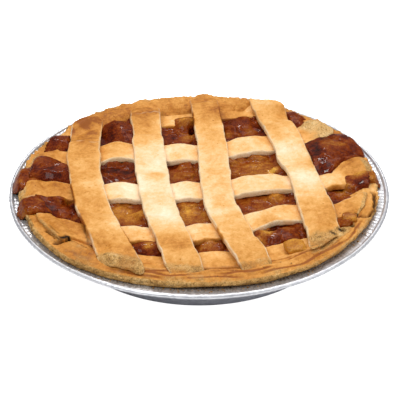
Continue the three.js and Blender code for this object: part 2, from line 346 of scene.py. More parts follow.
baked = given["Baked"]
for texture, amount in ((broad, 0.36), (patches, 0.36), (mottle, 0.30), (fine, 0.24)):
    baked = swayed(tree, baked, texture, amount)
baked = sum_of(tree, "MULTIPLY_ADD", specks, 0.25, baked)
crust_colour = ramp(tree, baked, [(0.0, "#FDECD2"), (0.2, "#F8DAB2"), (0.4, "#F0C48A"), (0.55, "#E7AD64"),
                                  (0.7, "#D69547"), (0.85, "#BB772B"), (1.0, "#94521A")])
cut_colour = ramp(tree, fine, [(0.3, "#E2C28E"), (0.5, "#F3DBB2"), (0.7, "#FAEAD0")])
crumb_tone = swayed(tree, swayed(tree, patches, grain, 0.95), mottle, 0.35)
crumb_tone = sum_of(tree, "MULTIPLY_ADD", sum_of(tree, "SUBTRACT", 0.7, given["Baked"]), 0.6, crumb_tone)
crumb_colour = ramp(tree, crumb_tone, [(0.2, "#956A38"), (0.4, "#BE9050"), (0.58, "#D3A666"),
                                       (0.8, "#E8C68E")])
crumb_share = swayed(tree, given["Crumbly"], patches, 1.6)
crumb_share = sum_of(tree, "MULTIPLY", fitted(tree, crumb_share, 0.15, 0.75), given["Crumbly"])
dough_colour = blended(tree, given["Cut side"], crust_colour, cut_colour)
dough_colour = blended(tree, crumb_share, dough_colour, crumb_colour)
pores = sum_of(tree, "MULTIPLY", fitted(tree, noise_of(tree, place, 1.5, 1.0), 0.42, 0.34), crumb_share)
dough_colour = blended(tree, sum_of(tree, "MULTIPLY", pores, 0.38), dough_colour, colour("#5C4020"))
# Cracks and holes are painted near black: painted shade inside them.
dough_colour = blended(tree, given["Crack shade"], dough_colour, colour("#1F0F05"))
tree.links.new(dough_colour, result["Color"])

flat = sum_of(tree, "MULTIPLY_ADD", fine, 0.3, sum_of(tree, "MULTIPLY", mottle, 0.3))
craggy = sum_of(tree, "MULTIPLY_ADD", pits, 0.75, grain)
height = sum_of(tree, "MULTIPLY_ADD", craggy, sum_of(tree, "ADD", crumb_share, 0.12), flat)
height = sum_of(tree, "MULTIPLY_ADD", pores, -0.6, height)
tree.links.new(height, result["Height"])
tree.links.new(fitted(tree, baked, 0.2, 1.0, 0.72, 0.52), result["Roughness"])
dough_group = tree
print("dough group:", len(tree.nodes), "nodes")


# %% Dough for the strips, the case and the crumbs
DOUGH_NUMBERS = {"Baked": "baked", "Cut side": "cut_side", "Crumbly": "crumbly", "Crack shade": "crack_shade"}


def dough_material(name, relief):
    """Dough whose look follows the numbers on its vertices, with relief of a height in millimetres."""
    material, tree, shader = new_material(name)
    numbers = {label: number_on(tree, key) for label, key in DOUGH_NUMBERS.items()}
    coat_with(tree, shader, dough_group, numbers, relief)
    shader.inputs["Specular IOR Level"].default_value = 0.15
    return material


lattice_dough = dough_material("lattice dough", 0.4)
case_dough = dough_material("case dough", 0.55)

# %% [markdown]
# ## Cooked fruit
# The filling is pieces of apple under a dark, sticky glaze. A number on each vertex says how much light
# apple shows there, from the dark caramel between the pieces to pale flesh. The glaze is smooth and wet.

# %% The fruit group
tree, given, result = new_group(
    "Cooked fruit", {"Apple": 0.3, "Streaks": 1.0},
    {"Color": "Color", "Height": "Float", "Roughness": "Float"})
place = own_place(tree)
turned = add(tree, "Mapping", {"Vector": place, "Rotation": (0.3, 0.2, 0.9), "Scale": (1.0, 2.2, 1.3)})
fibres = noise_of(tree, turned.outputs["Vector"], 5.0, 3.0, 0.6)
clouds = noise_of(tree, place, 7.0, 3.0)
pulp = noise_of(tree, place, 2.2, 3.0, 0.65)
specks = noise_of(tree, place, 0.9, 2.0)
tone = swayed(tree, given["Apple"], fibres, sum_of(tree, "MULTIPLY", given["Streaks"], 0.36))
tone = swayed(tree, tone, clouds, 0.5)
tone = swayed(tree, tone, pulp, sum_of(tree, "MULTIPLY", given["Streaks"], 0.5))
tone = swayed(tree, tone, specks, 0.5)
fruit_colour = ramp(tree, tone, [(0.0, "#240500"), (0.2, "#5A1903"), (0.4, "#803506"),
                                 (0.6, "#98561A"), (0.8, "#BC7C2C"), (1.0, "#DCA442")])
tree.links.new(fruit_colour, result["Color"])
soft = sum_of(tree, "MULTIPLY_ADD", fibres, 0.5, clouds)
soft = sum_of(tree, "MULTIPLY_ADD", specks, 0.7, soft)
tree.links.new(sum_of(tree, "MULTIPLY_ADD", pulp, 0.9, soft), result["Height"])
tree.links.new(fitted(tree, clouds, 0.35, 0.65, 0.30, 0.45), result["Roughness"])
fruit_group = tree
print("fruit group:", len(tree.nodes), "nodes")


# %% Filling and apple
def fruit_material(name, streaks, relief):
    """Cooked fruit under a coat of glaze, more or less streaked."""
    material, tree, shader = new_material(name)
    numbers = {"Apple": number_on(tree, "apple"), "Streaks": streaks}
    coat_with(tree, shader, fruit_group, numbers, relief)
    shader.inputs["Specular IOR Level"].default_value = 0.02
    shader.inputs["Coat Weight"].default_value = 0.17
    shader.inputs["Coat Roughness"].default_value = 0.09
    return material


filling_fruit = fruit_material("apple filling", 1.0, 0.8)
apple_fruit = fruit_material("apple pieces", 0.3, 0.3)

# %% [markdown]
# ## Foil
# The tin is pressed from thin aluminium. Its wall and base are smooth and dull, and their colour is a
# little darker, a painted shade for the wall under the flange. Its flange is gathered into fine ribs all
# round, which catch the light one by one. The ribs are in the mesh, and the finest creases are only bump.
# Next to the crust the foil is painted darker and browner: partly fat, flour and syrup on it, partly
# painted shade and a painted reflection of the crust.

# %% Foil
foil, tree, shader = new_material("foil")
place = own_place(tree)
wrinkles = noise_of(tree, place, 5.0, 4.0, 0.6)
scratches = noise_of(tree, place, 1.2, 3.0)
bright_foil = ramp(tree, wrinkles, [(0.3, "#C9CAD0"), (0.7, "#EDEDF0")])
# The wall and base are painted a little darker than the flange, a painted shade for the wall under the
# flange.
dull_and_shaded_foil = ramp(tree, wrinkles, [(0.3, "#C2C3CC"), (0.7, "#DEDFE6")])
# Next to the crust the foil is painted brown and dark: partly fat, flour and syrup on it, partly painted
# shade and a painted reflection of the crust.
soil_and_shade_foil = ramp(tree, scratches, [(0.3, "#4A3824"), (0.5, "#7E6744"), (0.7, "#AC9470")])
dull_and_shaded = number_on(tree, "dull_and_shaded")
foil_colour = blended(tree, dull_and_shaded, bright_foil, dull_and_shaded_foil)
soil_and_shade = sum_of(tree, "MULTIPLY", number_on(tree, "soil_and_shade"), fitted(tree, scratches, 0.35, 0.62, 1.5, 0.6))
tree.links.new(blended(tree, soil_and_shade, foil_colour, soil_and_shade_foil), shader.inputs["Base Color"])
clean = fitted(tree, dull_and_shaded, 0.0, 1.0, 0.70, 0.92)
tree.links.new(sum_of(tree, "MULTIPLY", clean, fitted(tree, soil_and_shade, 0.0, 1.0, 1.0, 0.2)),
               shader.inputs["Metallic"])
tree.links.new(fitted(tree, scratches, 0.3, 0.7, 0.30, 0.42), shader.inputs["Roughness"])
bump_into(tree, shader, sum_of(tree, "MULTIPLY_ADD", scratches, 0.4, wrinkles), 0.3)
print("materials:", [m.name for m in (lattice_dough, case_dough, filling_fruit, apple_fruit, foil)])

# %% [markdown]
# ## The tin
# A foil tin is one sheet, drawn down into a shallow dish and rolled over at the edge. Its section is
# drawn once, as a closed outline with the rolled bead at its end, and spun round the middle. The ribs of
# the flange are then pushed up and down in the spun mesh, as the press does with the real foil.

# %% The tin's sizes
RIM_Z = RIM_HEIGHT / MM
CASE_R = 112.6
TIN_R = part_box("tin")[1].x / MM
BEAD_R = 1.4
FLANGE_IN_R = 110.0
BASE_R = 89.5
PANEL_R = 74.0
PANEL_LIFT = 0.9
FOIL_T = 0.4
TIN_STEPS = 960
RIBS = 200
RIB_HEIGHT = 0.20
CRIMP = 0.14
BEAD_STEPS = 14
# The band round the crust that is painted darker, partly soiled foil and partly painted shade and a
# painted reflection of the crust: its width at the left and at the front, the directions in degrees
# between which it changes, its strength at the back and at the front left, and where that is.
SOIL_AND_SHADE_WIDTHS = (1.8, 4.5)
SOIL_AND_SHADE_TURNS = (-150, -95)
SOIL_AND_SHADE_STRENGTHS = (0.12, 0.62)
FRONT_LEFT = math.radians(235)
# How far the pastry's edge reaches past CASE_R, for directions in degrees: it is widest at the front left.
EDGE_REACHES = [
    (-171, 2.4), (-158, 3.4), (-147, 4.6), (-139, 5.0), (-129, 4.2), (-120, 3.2), (-112, 2.2), (-99, 1.9),
    (-84, 2.2), (-75, 2.6), (-66, 2.8), (-56, 2.4), (-46, 1.4), (-38, 1.2), (-30, 2.2), (-20, 2.0),
    (-8, 1.4), (0, 1.2), (30, 1.0), (60, 0.5), (90, 0.0), (118, 0.0), (133, 1.0), (145, 2.8), (160, 3.0),
    (189, 2.4),
]


def edge_reach(turn):
    """How far the pastry's edge reaches past CASE_R in one direction."""
    degrees = math.degrees(turn)
    if degrees < EDGE_REACHES[0][0]:
        degrees += 360
    for (before, low), (after, high) in zip(EDGE_REACHES, EDGE_REACHES[1:]):
        if degrees <= after:
            return mix(low, high, smooth(before, after, degrees))
    return EDGE_REACHES[-1][1]


def foil_line():
    """The foil's middle line: the lifted panel, the standing ring, the wall and the flange."""
    half = FOIL_T / 2
    line = [(0.0, PANEL_LIFT + half), (PANEL_R - 20, PANEL_LIFT + half), (PANEL_R, PANEL_LIFT + half)]
    line += [(PANEL_R + 2.5, half), (BASE_R, half), (BASE_R + 0.7, 0.5), (BASE_R + 1.1, 1.6)]
    foot, top = (BASE_R + 1.1, 1.6), (FLANGE_IN_R - 1.6, RIM_Z - 2.1)
    line += [(mix(foot[0], top[0], i / 8), mix(foot[1], top[1], i / 8)) for i in range(1, 9)]
    line += [(FLANGE_IN_R - 0.9, RIM_Z - 0.8), (FLANGE_IN_R + 0.4, RIM_Z - half)]
    flange_end = TIN_R - 2 * BEAD_R
    line += [(mix(FLANGE_IN_R + 1.5, flange_end, i / 8), RIM_Z - half) for i in range(9)]
    return line


def tin_outline():
    """The foil's closed section: its underside, the rolled bead, and its upper side."""
    line = foil_line()
    under, over = [], []
    for i, (r, z) in enumerate(line):
        r0, z0 = line[max(i - 1, 0)]
        r1, z1 = line[min(i + 1, len(line) - 1)]
        length = math.hypot(r1 - r0, z1 - z0)
        across = Vector((-(z1 - z0), r1 - r0)) / length * (FOIL_T / 2)
        if i == 0:
            across.x = 0
        under.append((r - across.x, z - across.y))
        over.append((r + across.x, z + across.y))
    bead = []
    for i in range(BEAD_STEPS + 1):
        turn = math.radians(mix(-165, 165, i / BEAD_STEPS))
        bead.append((TIN_R - BEAD_R + BEAD_R * math.cos(turn), RIM_Z + BEAD_R * math.sin(turn)))
    return under + bead + over[::-1]


# %% The tin
bm = spun(tin_outline(), TIN_STEPS)
dull_and_shaded_of, soil_and_shade_of = measures(bm, "dull_and_shaded", "soil_and_shade")
for vert in bm.verts:
    x, y, z = vert.co
    r = math.hypot(x, y)
    turn = math.atan2(y, x)
    on_flange = smooth(FLANGE_IN_R + 0.5, FLANGE_IN_R + 2.5, r) * (1 - smooth(TIN_R - 3.2, TIN_R - 2.6, r))
    uneven = 0.7 + 1.6 * waves(x, y, 0, 6, 1.0)
    shift = 2.2 * waves(x, y, 0, 9, 1.5)
    vert.co.z += on_flange * RIB_HEIGHT * uneven * math.cos(RIBS * turn + shift)
    crimped = smooth(TIN_R - 2.2, TIN_R - 0.8, r) * CRIMP * uneven * math.cos(RIBS * turn + shift)
    vert.co.x -= crimped * math.cos(turn)
    vert.co.y -= crimped * math.sin(turn)
    vert.co.z += 0.3 * waves(x, y, 0, 24, 2.0) * smooth(FLANGE_IN_R - 2, FLANGE_IN_R + 6, r)
    on_wall = smooth(3, 8, z) * (1 - smooth(RIM_Z - 6, RIM_Z - 1, z))
    dent = on_wall * 0.22 * waves(30 * math.cos(turn), 30 * math.sin(turn), z * 0.1, 1.1, 3.0)
    vert.co.x += dent * math.cos(turn)
    vert.co.y += dent * math.sin(turn)
    # The wall and base below the flange are marked as dull, more metallic foil, and their colour is painted
    # a little darker as shade.
    vert[dull_and_shaded_of] = 1 - smooth(RIM_Z - 4, RIM_Z - 0.5, z) if r < TIN_R - 3 else 0
    # The band next to the crust is painted dark: partly soiling, partly painted shade under the crust's
    # edge and a painted reflection of the crust.
    near_crust = smooth(FLANGE_IN_R - 2, FLANGE_IN_R, r)
    patchy = clamp(0.8 + 1.4 * waves(x, y, 0, 5, 4.0))
    crust_r = CASE_R + edge_reach(turn)
    soil_and_shade_width = mix(*SOIL_AND_SHADE_WIDTHS, smooth(*SOIL_AND_SHADE_TURNS, math.degrees(turn)))
    near_crust *= 1 - smooth(crust_r - 0.5, crust_r + 1.3 + soil_and_shade_width * patchy, r)
    front_and_left = smooth(-0.7, 0.3, math.cos(turn - FRONT_LEFT))
    vert[soil_and_shade_of] = near_crust * mix(*SOIL_AND_SHADE_STRENGTHS, front_and_left)
make_piece("foil_tin", bm, foil, ["tin"])

# %% [markdown]
# ## Where everything lies
# The dough and the filling lie on each other, so their heights are worked out by a few shared rules.
# The case's rim slopes up from the filling. The cross strips lie on the filling and climb on to the rim.
# The long strips lie over the cross strips and sag a little between them.

# %% The levels
# R is a distance from the middle of the pie, Z a height and T a thickness, all in millimetres. The T of
# the two ends is a share of the strip's own thickness.
CASE_RISE = 6.2
CASE_SLOPE_IN = 91.0
CASE_SLOPE_OUT = 107.0
CASE_FLOOR_R = 84.0
CASE_T = 4.6
FILLING_EDGE_R = 95
FILLING_EDGE_Z = 1.0
FILLING_SAG = 1.3
FILLING_RISE = 0.9
FILLING_FLAT_R = 100.0
LONG_T = 4.0
BRIDGE_T = 4.9
BRIDGE_SAG = 1.9
END_TAPER = 14.0
BACK_END_T = 0.62
FRONT_END_T = 0.22
PRESSED = 1.7
OUTER_DROP = 2.2
LAYER_T = 1.0

# Each strip has its width, the points that its middle line runs through, seen from above, how far from the
# middle of the pie its two ends are trimmed, how far it is crumbly from each end, and how far from each
# end its upper layer stops. The long strips start at the back and the cross strips at the left. An end
# that lies under another strip isn't trimmed.
LONG_STRIPS = [
    (21.0, [(-62, 94), (-70.5, 42), (-71.5, -18), (-61, -88)], (114.5, 111.5), (3, 13), (41, 6)),
    (21.0, [(-21.5, 108), (-27, 40), (-30, -25), (-24.5, -104)], (111.5, 108.5), (5, 11), (21, 8.5)),
    (20.0, [(21, 109.5), (15.5, 40), (8, -35), (17, -105)], (112.5, 108), (4, 9), (0, 6)),
    (21.5, [(62, 94), (65.5, 40), (66, -25), (63, -87)], (113, 107.5), (7, 14), (0, 10)),
]
CROSS_STRIPS = [
    (15.0, [(-25, 86), (-5, 83), (34, 86), (66, 86)], None, (0, 0), (0, 0)),
    (21.0, [(-108, 37), (-83, 37), (-48, 45), (-4, 36), (42, 38), (76, 43), (99, 55)], (113.5, 109.5),
     (6, 22), (0, 0)),
    (20.5, [(-112, 4), (-60, -5), (-6, -11.5), (50, -12), (80, -16.5), (90, -16), (98, -10), (106, -5.5),
            (113, -5)], (115, 113), (5, 7), (0, 0)),
    (18.5, [(-106, -38), (-84, -47.5), (-60, -54), (-8, -60.5), (42, -49), (64, -50), (82, -51),
            (104, -44)], (110, 108), (3, 4), (0, 0)),
    (17.0, [(-56, -83.5), (-36, -89), (-8, -88), (16, -90.5), (56, -83)], None, (0, 0), (0, 0)),
]
# The cross strips' thickness, and how much each puffs up between the long strips that hold it down.
CROSS_T = [3.2, 4.5, 4.5, 4.5, 3.2]
CROSS_PUFF = [0.0, 1.7, 1.9, 1.3, 0.0]
# Places where a strip is wider or narrower: the place, how much and within which distance.
WIDER = [
    ((99, 57), 1.22, 26), ((-106, -38), 1.4, 26), ((104, -43), 1.15, 16), ((-61, -88), 1.12, 26),
    ((66, -90), 1.1, 18), ((84, -16), 0.8, 12), ((-44, -57), 0.9, 14), ((82, -51), 0.86, 14),
    ((36, -54), 0.84, 14), ((66, -18), 0.88, 36), ((-83, 36), 1.5, 16), ((-86, -48), 1.12, 14),
    ((102, -6), 1.16, 12), ((-30, 64), 0.88, 16),
]
# Places where a strip's upper face stands higher: the middle, the radius and the height.
HUMPS = [
    (92, 50, 15, 1.8), (103, -2, 13, 2.4), (70, 87, 12, 2.0), (-72, 82, 12, 1.2), (-92, -46, 14, 0.9),
    (-73, 78, 7, 0.8), (-108, 7, 9, 1.4), (-94, -42, 5, 0.8), (-98, -36, 4, 0.7), (24, 100, 12, 0.8),
    (-66, 90, 15, 2.0), (104, -6, 9, 1.0),
]


# %% Rules for the strips' lines and the levels
def smooth_line(points, steps=24):
    """Close points on a curve that runs through all the given ones."""
    p = [Vector(point) for point in points]
    p = [2 * p[0] - p[1]] + p + [2 * p[-1] - p[-2]]
    line = []
    for a, b, c, d in zip(p, p[1:], p[2:], p[3:]):
        line += geometry.interpolate_bezier(b, b + (c - a) / 6, c - (d - b) / 6, c, steps)[:-1]
    return [Vector(q[:2]) for q in line] + [p[-2]]


def tree_of(line):
    """A line's points, sorted so that the nearest one to a place is found fast."""
    found = kdtree.KDTree(len(line))
    for i, point in enumerate(line):
        found.insert((point.x, point.y, 0), i)
    found.balance()
    return found


def broadness(x, y):
    """How much wider than its own width a strip is at a place."""
    return 1 + sum((wide - 1) * (1 - smooth(0, reach, math.hypot(x - at_x, y - at_y)))
                   for (at_x, at_y), wide, reach in WIDER)


def trees_of(strips):
    """Half the width of each strip, and the points of its middle line, ready to be searched."""
    return [(width / 2, tree_of(smooth_line(points, 60))) for width, points, *_ in strips]


LONG_TREES = trees_of(LONG_STRIPS)
CROSS_TREES = trees_of(CROSS_STRIPS)


def how_near(trees, x, y):
    """How far each strip of a set is from a place, as a share of its half width."""
    broad = broadness(x, y)
    return [found.find((x, y, 0))[2] / half / broad for half, found in trees]


def nearest(trees, x, y):
    return min(how_near(trees, x, y))


def case_top(r):
    """The height of the rim's upper face, before it is roughened."""
    return RIM_Z - 0.2 + CASE_RISE * smooth(CASE_SLOPE_IN, CASE_SLOPE_OUT, r)


def filling_level(r):
    """The height of the filling under the strips: lowest in the middle of the pie."""
    return RIM_Z + FILLING_EDGE_Z - FILLING_SAG * (1 - (r / FILLING_EDGE_R) ** 2)


def rest_z(x, y):
    """The surface that the cross strips lie on. Past the rim's top it drops towards the flange."""
    r = math.hypot(x, y)
    highest = max(filling_level(min(r, FILLING_FLAT_R)), case_top(r) - PRESSED)
    return highest - OUTER_DROP * smooth(109, 115, r)


def cross_under(puff):
    """The rule for the surface under a cross strip that puffs up where no long strip holds it down."""
    def level(x, y):
        free = smooth(1.0, 1.9, nearest(LONG_TREES, x, y)) * (1 - smooth(92, 106, math.hypot(x, y)))
        return rest_z(x, y) + puff * free
    return level


def cross_top(strip, x, y):
    """The height of a cross strip's upper face, the strips counted from 0."""
    return cross_under(CROSS_PUFF[strip])(x, y) + CROSS_T[strip]


def bridge_z(x, y):
    """The surface that the long strips lie on."""
    held = 1 - smooth(1.25, 2.1, nearest(CROSS_TREES, x, y))
    on_rim = smooth(94, 104, math.hypot(x, y))
    over = BRIDGE_T - BRIDGE_SAG * (1 - held)
    return rest_z(x, y) + over * (1 - on_rim * (1 - held * 0.55))


print("level of the filling in the middle:", round(filling_level(0), 2), "mm")
print("level of the rim:", round(case_top(CASE_SLOPE_OUT), 2), "mm")

# %% [markdown]
# ## The pastry case
# The case is a dish of dough with a thick rim. Its section is spun like the tin's, with many points where
# the rim shows. Then the rim is roughened: broad swells, folds that run round it in steps, and a
# crumbly outer side, where the dough has broken into grains. The few real cracks and holes are cut in
# where the pie has them.

# %% The case's marks
CASE_STEPS = 720
# Cracks in the dough: a line of points, half the width, the depth and how dark the inside is painted, as
# shade.
CRACKS = [
    ([(-99, -44), (-96.5, -48.5), (-94.2, -52.6)], 0.5, 1.0, 0.5),
    ([(-94.0, -55.8), (-91.5, -57.2), (-88.5, -57.4)], 0.95, 3.4, 1.0),
    ([(-88.5, -57.4), (-84.5, -60.5), (-79, -66)], 0.5, 1.6, 0.45),
    ([(-78.5, -47), (-78, -53), (-77.5, -59)], 0.8, 2.0, 0.6),
    ([(103.5, -34), (102.6, -42), (99.5, -51), (94, -59), (87, -60)], 0.8, 3.0, 0.85),
]
# Holes in the rim: the place, the radius and the depth. Their insides are painted fully dark, as shade.
HOLES = [((69, -77.5), 2.9, 4.0), ((75, -72.5), 2.5, 4.0), ((82, -69), 1.6, 3.0), ((96, -62), 1.2, 1.5)]
# How much the rim's upper edge sinks for each millimetre that it reaches out.
EDGE_FALL = 0.3
# Where the edge is lifted off the flange, so that a black gap shows: the direction in degrees, the half
# width of the gap in degrees, and how much.
LIFTED = [(-95, 17, 1.6), (-72, 12, 0.9), (-58, 6, 0.8)]
# Ridges where a flap of dough lies on the rim, and a trough beside a strip: from, to, half width, height.
RIDGES = [((30, 82), (50, 93), 4.5, 1.8), ((-89, 68), (-81, 80), 5.5, -2.0)]
# Places where the rim's upper face is crumbly too: the middle, the radius and how much.
CRUMBLED = [
    (62, -92, 17, 0.9), (76, -73, 19, 1.1), (-62, -92, 13, 0.6), (-22, -108, 9, 0.4), (-84, -66, 14, 0.35),
]
# Browner or paler places on the rim: the middle, the radius and how much more it is baked.
RIM_SPOTS = [
    (-45, 95, 26, 0.08), (108, -26, 26, -0.30), (78, -80, 30, -0.12), (-10, -106, 36, -0.01),
    (40, -100, 30, -0.03), (-70, -80, 34, 0.09), (-80, 74, 10, -0.2),
]
# Where the rim's top leans out over its foot: the direction, the half width in degrees, and how far.
LEANS = [(-70, 75, 1.2), (-46, 25, 1.6)]
# The folds run round the front of the rim: their middle direction, how many degrees from it they start
# to fade and have faded, and their distances from the middle of the pie.
FOLD_MIDDLE = -80
FOLD_FADES = (30, 55)
FOLD_AT = [97.5, 99.6, 101.6, 103.7, 105.7, 107.6, 109.6]
# The direction in radians of the rim's right front, where its edge is less crumbly.
FRONT_RIGHT = -0.6
CASE_TOP_STEPS = 46


# %% The case's section and its cracks
def line_distance(x, y, points):
    """How far a place is from a line of points."""
    here = Vector((x, y))
    nearest_yet = 1e9
    for a, b in zip(points, points[1:]):
        a, b = Vector(a), Vector(b)
        share = clamp((here - a).dot(b - a) / (b - a).length_squared)
        nearest_yet = min(nearest_yet, (here - a.lerp(b, share)).length)
    return nearest_yet


def case_outline():
    """The case's closed section: its outer wall, its rim's side and top, and its inner wall."""
    out = 0.4
    outline = [(0, PANEL_LIFT + FOIL_T + out), (BASE_R - 3.5, PANEL_LIFT + FOIL_T + out)]
    outline += [(BASE_R - 1.3 - out, 3.4 + out), (FLANGE_IN_R - 2.2 - out, RIM_Z - 1.6 + out)]
    outline += [(FLANGE_IN_R - 0.6, RIM_Z + out), (FLANGE_IN_R + 0.6, RIM_Z + out)]
    outline += [(CASE_R - 0.6, RIM_Z + 0.55), (CASE_R - 0.1, RIM_Z + 1.1)]
    outline += [(CASE_R + 0.2 * math.sin(i), RIM_Z + 1.1 + 0.7 * i) for i in range(1, 6)]
    outline += [(CASE_R - 0.2, case_top(CASE_R) - 0.7), (CASE_R - 0.9, case_top(CASE_R) - 0.1)]
    top = [mix(CASE_R - 1.6, CASE_SLOPE_IN - 1, i / CASE_TOP_STEPS) for i in range(CASE_TOP_STEPS + 1)]
    outline += [(r, case_top(r)) for r in top]
    return outline + [(CASE_FLOOR_R, PANEL_LIFT + CASE_T + 1), (0, PANEL_LIFT + CASE_T)]


def crack_at(x, y):
    """How far down the cracks and holes go at a place, and how much painted shade darkens them there."""
    depth_here = crack_shade_here = 0.0
    for points, half, depth, dark in CRACKS:
        away = line_distance(x, y, points) + 0.6 * waves(x, y, 0, 3, 10.0)
        share = 1 - smooth(half * 0.3, half * 1.4, away)
        depth_here = max(depth_here, depth * share)
        crack_shade_here = max(crack_shade_here, dark * share)
    for (hole_x, hole_y), size, depth in HOLES:
        away = math.hypot(x - hole_x, y - hole_y) + 0.5 * waves(x, y, 0, 2.5, 11.0)
        share = 1 - smooth(size * 0.4, size, away)
        depth_here = max(depth_here, depth * share)
        crack_shade_here = max(crack_shade_here, share)
    return depth_here, crack_shade_here


# %% The case
bm = spun(case_outline(), CASE_STEPS)
baked_of, _, crumbly_of, crack_shade_of = measures(bm, *DOUGH_NUMBERS.values())
for vert in bm.verts:
    x, y, z = vert.co
    r = math.hypot(x, y)
    turn = math.atan2(y, x)
    outward = Vector((x, y, 0)).normalized() if r > 1 else Vector((0, 0, 0))
    far = edge_reach(turn) * smooth(105, 111, r)
    vert.co += outward * far
    vert.co.z -= EDGE_FALL * far * smooth(RIM_Z + 2, RIM_Z + 5, z)
    on_rim = smooth(93, 99, r) * smooth(RIM_Z - 0.5, RIM_Z + 1.5, z)
    edge = smooth(107.5, 111, r)
    ring_x, ring_y = 40 * math.cos(turn), 40 * math.sin(turn)
    swell = waves(ring_x, ring_y, 0, 13, 5.0)
    crags = rough(x, y, z, 9, 6.0)
    grains = rough(x, y, z, 2.4, 7.0)
    folds = crease = 0.0
    crumbled = spots(CRUMBLED, x, y) * (1 - smooth(106.5, 109.0, r))
    for k, fold_at in enumerate(FOLD_AT):
        fold_at += 1.3 * waves(ring_x, ring_y, 0, 11, 8.0) + 0.8 * waves(ring_x, ring_y, 0, 4.5, 9.0 + k)
        height = clamp(0.75 + 1.5 * waves(ring_x, ring_y, 0, 8, 50.0 + k)) * (1 - clamp(1.4 * crumbled))
        height *= 1 - 0.9 * smooth(*FOLD_FADES, off_by(turn, FOLD_MIDDLE))
        step_up = smooth(fold_at - 0.3, fold_at + 0.3, r)
        folds += height * (step_up - smooth(fold_at + 0.5, fold_at + 1.9, r))
        crease = max(crease, height * (1 - smooth(0.2, 0.9, abs(r - fold_at + 0.35))))
    back_lift = 1.3 * smooth(60, 95, math.sin(turn) * 105)
    up_by = back_lift + 0.9 * swell + 0.75 * crags + grains * mix(0.14, 0.7, edge)
    up_by += folds * (1 - smooth(109.5, 111.0, r))
    out_by = 0.9 * swell + 0.9 * crags + 1.0 * grains * edge
    leaning = max(lean * (1 - smooth(0, half, off_by(turn, degrees))) for degrees, half, lean in LEANS)
    out_by += leaning * smooth(RIM_Z + 1.5, RIM_Z + 4.5, z)
    dip, dark = crack_at(x, y)
    low_edge = smooth(FLANGE_IN_R - 1, CASE_R - 0.5, r) * (1 - smooth(RIM_Z + 1.5, RIM_Z + 3.5, z))
    lift = max(height * (1 - smooth(0, half, off_by(turn, degrees))) for degrees, half, height in LIFTED)
    lift += 0.2 + 0.35 * waves(ring_x, ring_y, 0, 3.5, 12.0)
    for (ax, ay), (bx, by), half, height in RIDGES:
        up_by += height * (1 - smooth(0.2, 1.0, line_distance(x, y, [(ax, ay), (bx, by)]) / half))
    vert.co.z += on_rim * (up_by - dip) + low_edge * lift
    vert.co += outward * on_rim * out_by * smooth(104, 110, r)
    # A crack's dip browns the dough a little, and cracks and holes are painted dark inside, as shade.
    vert[baked_of] = 0.78 + 0.12 * waves(x, y, z, 26, 13.0) + 0.05 * dip + 0.48 * crease
    vert[baked_of] += spots(RIM_SPOTS, x, y)
    vert[crack_shade_of] = dark * on_rim
    side_face = smooth(110.6, 112.2, r)
    patchy = clamp(0.5 + 1.8 * waves(x, y, z, 11, 13.5))
    at_front = smooth(-20, 60, -y)
    at_right = smooth(0.6, 0.95, math.cos(turn - FRONT_RIGHT))
    top_face = (0.22 + 0.4 * patchy * at_front) * smooth(mix(108.5, 106.0, at_front), 110.8, r)
    vert[crumbly_of] = clamp((0.9 * side_face + top_face) * (1 - 0.6 * at_right) + crumbled + 0.1)
print("the case's rim stands", round(max(v.co.z for v in bm.verts) - RIM_Z, 1), "mm over the flange")
make_piece("pastry_case", bm, case_dough, ["crust"])

# %% [markdown]
# ## The strips
# A strip of dough is a long flat band with soft edges. Each one starts as a box cut into a fine grid. Its
# corners are rounded, and it is bent along its line and laid on what is under it. Its upper face swells
# and sinks a little, its ends thin out where they are pressed into the rim, and its cut sides stay pale.
# Near some ends the upper layer has come off, which leaves a low step with a torn, pale edge.

# %% How a strip is laid
ACROSS_CUTS = 20
UP_CUTS = 4
ALONG_STEP = 1.25
EDGE_ROUND = 1.15
CORNER_R = 6.0
# Over how much of its length an end is drawn to its trim, and over how much it is ragged.
END_DRAWN = 30
END_RAGGED = 9

# Browner or paler places on the lattice: the middle, the radius and how much more it is baked.
BROWNED = [
    (-68, 80, 20, 0.08), (-66, 82, 6, 0.35), (-76, 73, 4, 0.25), (-57, 86, 5, 0.25), (-62, 70, 5, 0.2),
    (-71, 10, 30, 0.07), (-68, 44, 12, 0.20), (-66, 64, 7, 0.10), (-69, 5, 14, -0.02), (-74, 12, 9, 0.12),
    (-72, -20, 16, 0.12), (-24, 84, 14, 0.18), (-27, 58, 16, 0.13), (-27, 4, 8, 0.26), (-33, 24, 7, 0.10),
    (-30, -22, 12, 0.02), (-28, -44, 12, -0.20), (-27, -74, 13, 0.18), (-29, -61, 9, 0.0),
    (24, 78, 12, 0.18), (16, 52, 12, 0.13), (14, 30, 20, 0.26), (11, 9, 14, 0.20), (9, -12, 20, 0.26),
    (9, -35, 10, 0.20), (12, -60, 17, 0.16), (60, 84, 16, -0.2), (65, 56, 16, -0.06), (67, 24, 20, -0.22),
    (62, 40, 6, 0.12), (67, -16, 14, -0.30), (66, -38, 13, -0.06), (66, -60, 12, 0.04),
    (-50, -4, 15, -0.25), (-10, 30, 6, 0.20), (38, 30, 6, 0.10), (-92, 2, 16, 0.10), (-88, -46, 20, 0.16),
    (-94, 50, 12, 0.14),
    (90, 52, 22, -0.14), (92, 4, 12, 0.10), (93, 2, 6, -0.2), (-6, -90, 14, 0.08), (40, -46, 18, 0.04),
    (34, -58, 8, 0.2), (-46, -50, 14, -0.10), (20, 106, 12, 0.10), (38, -12, 18, 0.16),
    (96, -44, 14, -0.04), (34, 90, 18, 0.16), (-5, 80, 12, -0.12), (102, -4, 12, 0.16), (84, -16, 9, -0.14),
    (66, 96, 12, -0.12), (-50, 44, 12, 0.10),
]
SPOT_SPREAD = 1.25
PALE_MIDDLE = 0.22
BROWN_EDGE = 0.72
